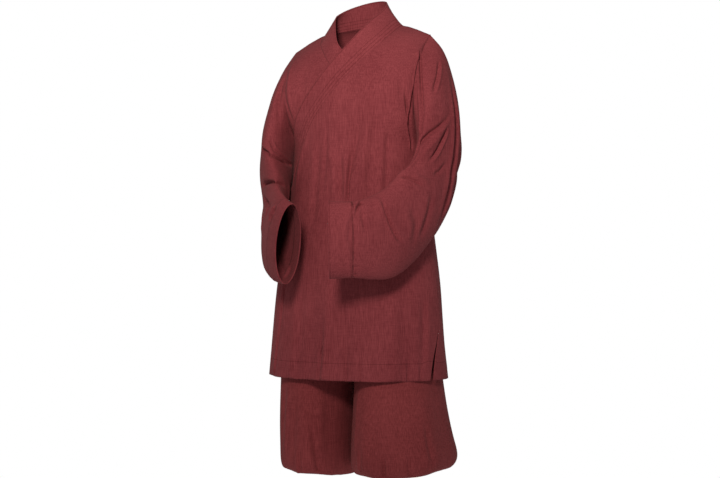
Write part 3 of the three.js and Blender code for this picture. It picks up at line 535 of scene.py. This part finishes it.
armhole_folds = [
    crease([(181, -40, -52), (184, -49, -81), (190, -61, -107), (195, -71, -132), (200, -80, -169),
            (203, -86, -194), (206, -93, -218), (207, -100, -243), (210, -107, -267)], 3.4, 7, 1,
           (0.12, 0.08)),
    crease([(180, -28, -30), (184, -48, -75), (188, -66, -120), (190, -78, -175)], 14, -3.4),
    crease([(-184, -40, -70), (-188, -66, -130), (-188, -78, -190), (-186, -80, -240)], 7, 5),
    crease([(184, 60, -70), (186, 80, -140), (182, 84, -210)], 9, 6, 1),
    crease([(-184, 60, -80), (-186, 80, -150), (-182, 84, -220)], 9, 6, -1),
]
front_folds = [
    crease([(164, -95, -133), (164, -95, -171), (164, -83, -204), (162, -66, -239),
            (159, -47, -274), (161, -45, -303)], 3.2, 6.5, 1, (0.35, 0.1)),
    crease([(36, -117, -287), (30, -121, -333), (27, -127, -384), (26, -130, -440)], 3.2, 8, 1,
           (0.4, 0.2)),
    crease([(56, -114, -215), (42, -117, -280), (34, -121, -335), (30, -125, -380)], 9, 5, 1),
    crease([(-20, -123, -290), (-12, -130, -350), (-7, -134, -430)], 8, -4.5),
    crease([(4, -121, -300), (8, -128, -360), (10, -132, -430)], 6, 4.5, -1),
    crease([(-87, -105, -251), (-117, -92, -300), (-143, -82, -405)], 9, -3),
    crease([(94, -115, -170), (90, -118, -290), (84, -125, -430)], 12, 3.6, 1),
    crease([(70, -116, -250), (64, -122, -360), (60, -130, -470)], 8, -3),
    crease([(74, -113, -150), (76, -115, -220), (70, -118, -300)], 7, -2),
    crease([(-58, -115, -250), (-60, -122, -370), (-64, -128, -500)], 11, 3.4, 1),
    crease([(-34, -118, -220), (-36, -122, -320), (-40, -128, -430)], 7, 2.4, -1),
    crease([(126, -104, -230), (124, -108, -330), (120, -112, -430)], 7, 3.4, 1),
    crease([(138, -100, -120), (142, -100, -180), (142, -94, -250)], 8, 2.2, -1),
    crease([(28, -148, -740), (32, -152, -800), (34, -153, -870)], 5, 5, 1, (0.6, 0.01)),
    crease([(73, -147, -790), (69, -151, -870)], 3, 4, -1, (0.6, 0.01)),
    crease([(172, -95, -790), (173, -98, -870)], 4, 3.5, 1, (0.6, 0.01)),
    crease([(196, -76, -800), (198, -78, -870)], 4, 3, 1, (0.6, 0.01)),
    crease([(-12, -149, -580), (-14, -152, -690), (-20, -158, -790), (-25, -163, -870)], 13, -5,
           0, (0.5, 0.01)),
    crease([(-26, -156, -690), (-30, -159, -790), (-36, -161, -870)], 8, 5.5, -1, (0.6, 0.01)),
    crease([(-152, -105, -540), (-158, -106, -630), (-168, -107, -720), (-190, -100, -870)], 5,
           6, 1, (0.4, 0.05)),
    crease([(-178, -85, -560), (-184, -86, -680), (-198, -84, -840)], 8, -3.5),
    crease([(104, -133, -600), (106, -139, -720), (108, -143, -870)], 18, 4.5, 0, (0.4, 0.01)),
    crease([(144, -118, -590), (150, -119, -700), (154, -122, -870)], 13, -4, 0, (0.4, 0.01)),
    crease([(60, -142, -600), (58, -147, -720), (56, -150, -870)], 10, -2.5, 0, (0.5, 0.01)),
    crease([(-92, -138, -590), (-96, -142, -700), (-104, -146, -870)], 14, 4, 1, (0.4, 0.01)),
    crease([(205, -60, -640), (208, -66, -740), (204, -78, -850)], 9, 4, -1),
    crease([(-168, -43, -350), (-170, -44, -395), (-174, -45, -450)], 17, -3.4),
]

left_front = cloth_piece(
    "jacket_front_left",
    jacket_linen,
    armhole_folds + front_folds,
    edges={"from_hem": is_hem},
)

# ---- Right front ----
# The narrower front, of the same linen. It lies under the left one and comes out at the right side
# and shoulder, where it is sewn to the back, and its hem is as deep.

right_front_folds = [
    crease([(-172, -45, -45), (-160, -80, -110), (-150, -94, -180), (-143, -92, -235)], 5, -2.6),
    crease([(-178, -62, -75), (-170, -84, -140), (-160, -92, -200), (-150, -88, -245)], 6, 3.4),
    crease([(-120, -80, -90), (-112, -98, -150), (-104, -108, -200)], 12, 2),
]
right_front = cloth_piece(
    "jacket_front_right",
    jacket_linen,
    armhole_folds + front_folds + right_front_folds,
    edges={"from_hem": is_hem},
)

# ---- Back ----
# One piece of the same linen across both shoulders. It hangs from the shoulder seams in long uneven
# folds, and the side seams that hold it to the fronts end above the hem and leave two slits.

back_folds = [
    crease([(62, 85, -50), (72, 112, -180), (66, 122, -380), (70, 134, -620)], 13, 5, 1),
    crease([(-48, 90, -60), (-62, 115, -210), (-58, 126, -420), (-66, 140, -700)], 12, 5, -1),
    crease([(6, 100, -110), (10, 120, -280), (2, 130, -520)], 9, 3, 1),
    crease([(172, 62, -130), (160, 82, -210), (140, 98, -310), (132, 112, -430)], 7, 7, -1),
    crease([(-172, 62, -140), (-162, 82, -220), (-144, 98, -320), (-140, 112, -440)], 7, 7, 1),
    crease([(120, 100, -250), (112, 112, -360), (104, 122, -480)], 8, 4, 1),
    crease([(-112, 104, -290), (-104, 116, -400), (-96, 126, -520)], 8, 4, -1),
    crease([(112, 112, -540), (116, 124, -690), (122, 132, -860)], 13, 5, 1, (0.4, 0.01)),
    crease([(-98, 118, -520), (-108, 128, -690), (-116, 136, -860)], 12, 5, -1, (0.4, 0.01)),
    crease([(20, 136, -600), (14, 144, -740), (12, 152, -860)], 14, 4, 1, (0.4, 0.01)),
    crease([(176, 78, -520), (184, 84, -680), (190, 88, -850)], 12, 5, 1, (0.4, 0.05)),
    crease([(-178, 76, -540), (-188, 80, -690), (-194, 84, -850)], 12, 5, -1, (0.4, 0.05)),
]
back = cloth_piece(
    "jacket_back", jacket_linen, armhole_folds + back_folds, edges={"from_hem": is_hem}
)

# ---- Sleeves ----
# Wide sleeves of the same linen, each cut in one piece, with one seam below, and sewn into the
# armhole. The arm bends inside, so the cloth breaks into deep folds at the elbow and slides into
# soft ones below.

left_sleeve_folds = [
    crease([(225, -20, -75), (229, -46, -124), (225, -72, -170)], 3.8, 7, -1),
    crease([(206, -78, -120), (208, -92, -190), (206, -104, -240)], 8, 3, 1),
    crease([(253, -22, -208), (251, -43, -228), (243, -67, -246), (229, -90, -262),
            (217, -103, -277), (205, -112, -293), (192, -132, -322), (182, -156, -352)], 5, 9, -1,
           (0.3, 0.1)),
    crease([(252, -40, -240), (251, -50, -258), (247, -65, -282), (242, -77, -302),
            (236, -88, -317), (226, -107, -334)], 4, 9, -1, (0.3, 0.35)),
    crease([(250, -36, -236), (240, -72, -270), (226, -96, -296), (206, -128, -332)], 8, -5, 0,
           (0.35, 0.35)),
    crease([(254, -46, -330), (246, -72, -352), (232, -96, -366)], 5, 4, 1),
    crease([(242, 14, -100), (254, 4, -170), (261, -5, -250), (262, -14, -316),
            (257, -28, -377), (248, -47, -438), (232, -60, -500)], 8, 11, 2, (0.35, 0.3)),
    crease([(257, -8, -196), (262, -14, -260), (262, -24, -320), (256, -40, -380)], 5, 6, -1),
    crease([(180, -170, -368), (204, -153, -374), (226, -130, -390)], 4, 8, 1),
    crease([(206, -150, -360), (222, -130, -372), (236, -106, -384)], 6, -3.5),
    crease([(158, -228, -412), (168, -226, -444), (178, -218, -480), (190, -206, -508),
            (200, -188, -528)], 4.2, 10, 1, (0.4, 0.25)),
    crease([(150, -232, -404), (156, -236, -440), (166, -230, -480)], 9, -3),
    crease([(122, -272, -440), (124, -276, -455), (112, -292, -480), (110, -294, -515),
            (117, -288, -545), (119, -268, -592)], 6, 3.2, 1, (0.15, 0.1)),
    crease([(127, -262, -424), (122, -274, -440), (120, -280, -458)], 3.2, 10, 1, (0.1, 0.5)),
    crease([(116, -262, -424), (114, -272, -438), (112, -282, -452)], 5, -4, 0, (0.1, 0.5)),
    crease([(130, -268, -432), (135, -274, -465), (142, -270, -505)], 5, 4, 1),
    crease([(117, -282, -575), (112, -264, -604)], 4, 5, 1, (0.3, 0.05)),
    crease([(206, -170, -430), (214, -150, -480), (204, -150, -530)], 11, 4, 1),
    crease([(226, 62, -230), (238, 44, -320), (236, 4, -410), (218, -50, -480)], 9, 8, 1),
    crease([(196, 78, -200), (206, 72, -280), (214, 44, -370)], 8, 7, -1),
    crease([(232, -100, -400), (226, -110, -450), (204, -130, -520)], 9, 5, 1),
    crease([(170, -110, -560), (150, -160, -590), (126, -210, -600)], 10, 5, 1),
]
right_sleeve_folds = [
    crease([(-242, -70, -284), (-222, -102, -291), (-205, -114, -298), (-190, -116, -306),
            (-181, -101, -312), (-176, -78, -320), (-176, -51, -326), (-180, -22, -332)], 3.8, 12,
           0, (0.2, 0.3)),
    crease([(-232, -88, -270), (-214, -108, -282), (-190, -112, -296)], 9, -3),
    crease([(-205, -104, -252), (-195, -106, -276), (-187, -101, -293), (-180, -82, -307),
            (-177, -54, -319), (-180, -21, -330)], 3.6, 6, -1, (0.3, 0.1)),
    crease([(-236, -76, -386), (-222, -98, -380), (-193, -132, -375), (-168, -156, -374),
            (-149, -167, -376), (-145, -142, -380), (-151, -105, -386)], 4.4, 13, 0, (0.2, 0.4)),
    crease([(-224, -98, -366), (-200, -132, -362), (-166, -156, -361)], 7, -3.4),
    crease([(-112, -237, -436), (-124, -232, -446), (-132, -226, -456), (-146, -212, -472)], 4.4,
           10, 1),
    crease([(-212, -84, -414), (-206, -116, -417), (-195, -138, -420), (-182, -157, -426),
            (-164, -180, -432), (-141, -208, -435)], 7, 10, 0, (0.3, 0.5)),
    crease([(-150, -205, -425), (-168, -190, -440), (-184, -172, -462)], 7, 4, 1),
    crease([(-186, -38, -66), (-196, -62, -110), (-200, -84, -170), (-198, -96, -220)], 7, -4,
           0, (0.4, 0.3)),
    crease([(-224, -30, -90), (-242, -32, -150), (-256, -40, -220)], 9, 4, 1),
    crease([(-250, 22, -130), (-262, 8, -210), (-268, -4, -300), (-262, -24, -380)], 9, 8, 1),
    crease([(-226, 62, -240), (-242, 46, -330), (-244, 4, -420), (-224, -56, -500)], 9, 7, -1),
    crease([(-250, -70, -420), (-232, -110, -450), (-206, -140, -500)], 8, 6, 1),
    crease([(-198, 78, -210), (-208, 70, -290), (-218, 44, -380)], 8, 6, 1),
    crease([(-176, -100, -570), (-150, -150, -600), (-124, -190, -612)], 10, 5, 1),
    crease([(-166, -76, -370), (-157, -84, -400), (-152, -100, -430)], 12, -3),
]
sleeve_linen = linen("maroon_slub_linen_sleeve", MAROON, MAROON_DEEP)
for side, folds, face in (
    ("left", left_sleeve_folds, 0.238),
    ("right", right_sleeve_folds, 0.21),
):
    sleeve = cloth_piece(f"sleeve_{side}", sleeve_linen, armhole_folds + folds)

# ---- Cuffs ----
# The end of each sleeve is faced with a second layer of the same linen, turned in at the rim and
# stitched through along its upper edge.

CUFF_STITCHING = 0.003  # from either edge
SEAM_WIDTH = 0.003  # an edge of the cuff that is nearer than this to the sleeve is its seam
CUFF_RIM = 0.02  # every edge of the cuff that is farther than this from the sleeve is its rim
cuff_linen = linen(
    "maroon_slub_linen_cuff",
    MAROON,
    MAROON_DEEP,
    rows=[("from_seam", CUFF_STITCHING), ("from_rim", CUFF_STITCHING)],
)


def surface_of(node):
    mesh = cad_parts[node].data
    return BVHTree.FromPolygons(
        [tuple(v.co) for v in mesh.vertices], [tuple(f.vertices) for f in mesh.polygons]
    )


for side, folds in (("left", left_sleeve_folds), ("right", right_sleeve_folds)):
    sleeve_end = surface_of(f"sleeve_{side}")
    cuff = cloth_piece(
        f"sleeve_cuff_{side}",
        cuff_linen,
        folds,
        wall=DOUBLED,
        waves=0.8,
        edges={
            "from_seam": lambda p: sleeve_end.find_nearest(p)[3] < SEAM_WIDTH,
            "from_rim": lambda p: sleeve_end.find_nearest(p)[3] > CUFF_RIM,
        },
    )

# ---- Collar band ----
# A long straight band of doubled linen, sewn on along its outer edge from the right neckline round
# the nape and down the left front to the right side, with three rows of stitching beside the seam
# and one beside the fold.

COLLAR_SEAM_WIDTH = 0.0013  # an edge that is nearer than this to the body is sewn to it
outer_body = [surface_of(node) for node in ("jacket_front_left", "jacket_back")]
whole_body = [*outer_body, surface_of("jacket_front_right")]


def is_near(p, surfaces):
    return min(surface.find_nearest(p)[3] for surface in surfaces) < COLLAR_SEAM_WIDTH


collar_rows = [("from_seam", 0.006), ("from_seam", 0.014), ("from_seam", 0.022)]
collar_linen = linen(
    "maroon_slub_linen_collar",
    MAROON,
    MAROON_DEEP,
    rows=[*collar_rows, ("from_fold", 0.0025)],
    grain=(0, math.radians(-48), 0),
)
collar_folds = [
    crease([(96, -60, -20), (60, -95, -70), (20, -112, -110)], 9, 1.2),
    crease([(-60, -112, -130), (-96, -100, -180), (-124, -84, -215)], 8, 1.2),
]
collar = cloth_piece(
    "collar_band",
    collar_linen,
    collar_folds,
    wall=DOUBLED,
    waves=0.5,
    edges={
        "from_seam": lambda p: is_near(p, outer_body),
        "from_fold": lambda p: not is_near(p, whole_body),
    },
)

# ---- Trousers ----
# Full trousers of the same linen: each leg is one piece from the waistband to the calf, gathered
# into a band below the knee so that the cloth blouses over it and hangs in a sagging rim.

TROUSER_MAROON = "#8c3c3e"
TROUSER_MAROON_DEEP = "#6d282a"

left_leg_folds = [
    crease([(218, -84, -950), (222, -84, -1010), (227, -82, -1065)], 8, 4, 1),
    crease([(130, -148, -1020), (131, -147, -1085)], 5, 6, 2, (0.5, 0.01)),
    crease([(96, -146, -880), (100, -150, -960), (102, -152, -1070)], 16, 3),
    crease([(160, -132, -870), (166, -132, -950), (170, -134, -1060)], 12, 3, 1),
    crease([(36, -118, -860), (34, -128, -950), (32, -132, -1060)], 12, -4),
    crease([(60, -146, -1010), (56, -146, -1080)], 6, 4, 1, (0.5, 0.01)),
    crease([(185, -124, -1020), (188, -122, -1085)], 5, 4, 1, (0.5, 0.01)),
]
right_leg_folds = [
    crease([(-74, -126, -940), (-66, -129, -1001), (-59, -126, -1046), (-55, -120, -1085)], 8, 5,
           1, (0.5, 0.01)),
    crease([(-112, -124, -880), (-114, -130, -960), (-116, -130, -1070)], 14, 3),
    crease([(-44, -120, -870), (-42, -126, -950), (-40, -126, -1060)], 12, -3.5),
    crease([(-150, -100, -860), (-154, -104, -960), (-158, -100, -1060)], 10, 4, -1),
    crease([(-96, -130, -1020), (-98, -128, -1085)], 5, 4, 1, (0.5, 0.01)),
]
trouser_linen = linen("maroon_slub_linen_trousers", TROUSER_MAROON, TROUSER_MAROON_DEEP)
for side, folds, face in (("left", left_leg_folds, 0.445), ("right", right_leg_folds, 0.416)):
    leg = cloth_piece(f"trouser_leg_{side}", trouser_linen, folds)

# ---- Waistband and calf bands ----
# Doubled strips of the same linen. The tops and the ends of the legs are gathered into them and
# stitched down. No fold forms in them, so their cells are coarser.

band_linen = linen("maroon_slub_linen_band", MAROON, MAROON_DEEP)
waistband = cloth_piece(
    "waistband", band_linen, [], wall=DOUBLED, cells=2, waves=0.4
)
for side in ("left", "right"):
    calf_band = cloth_piece(
        f"trouser_cuff_{side}", band_linen, [], wall=DOUBLED, cells=2, waves=0.4
    )
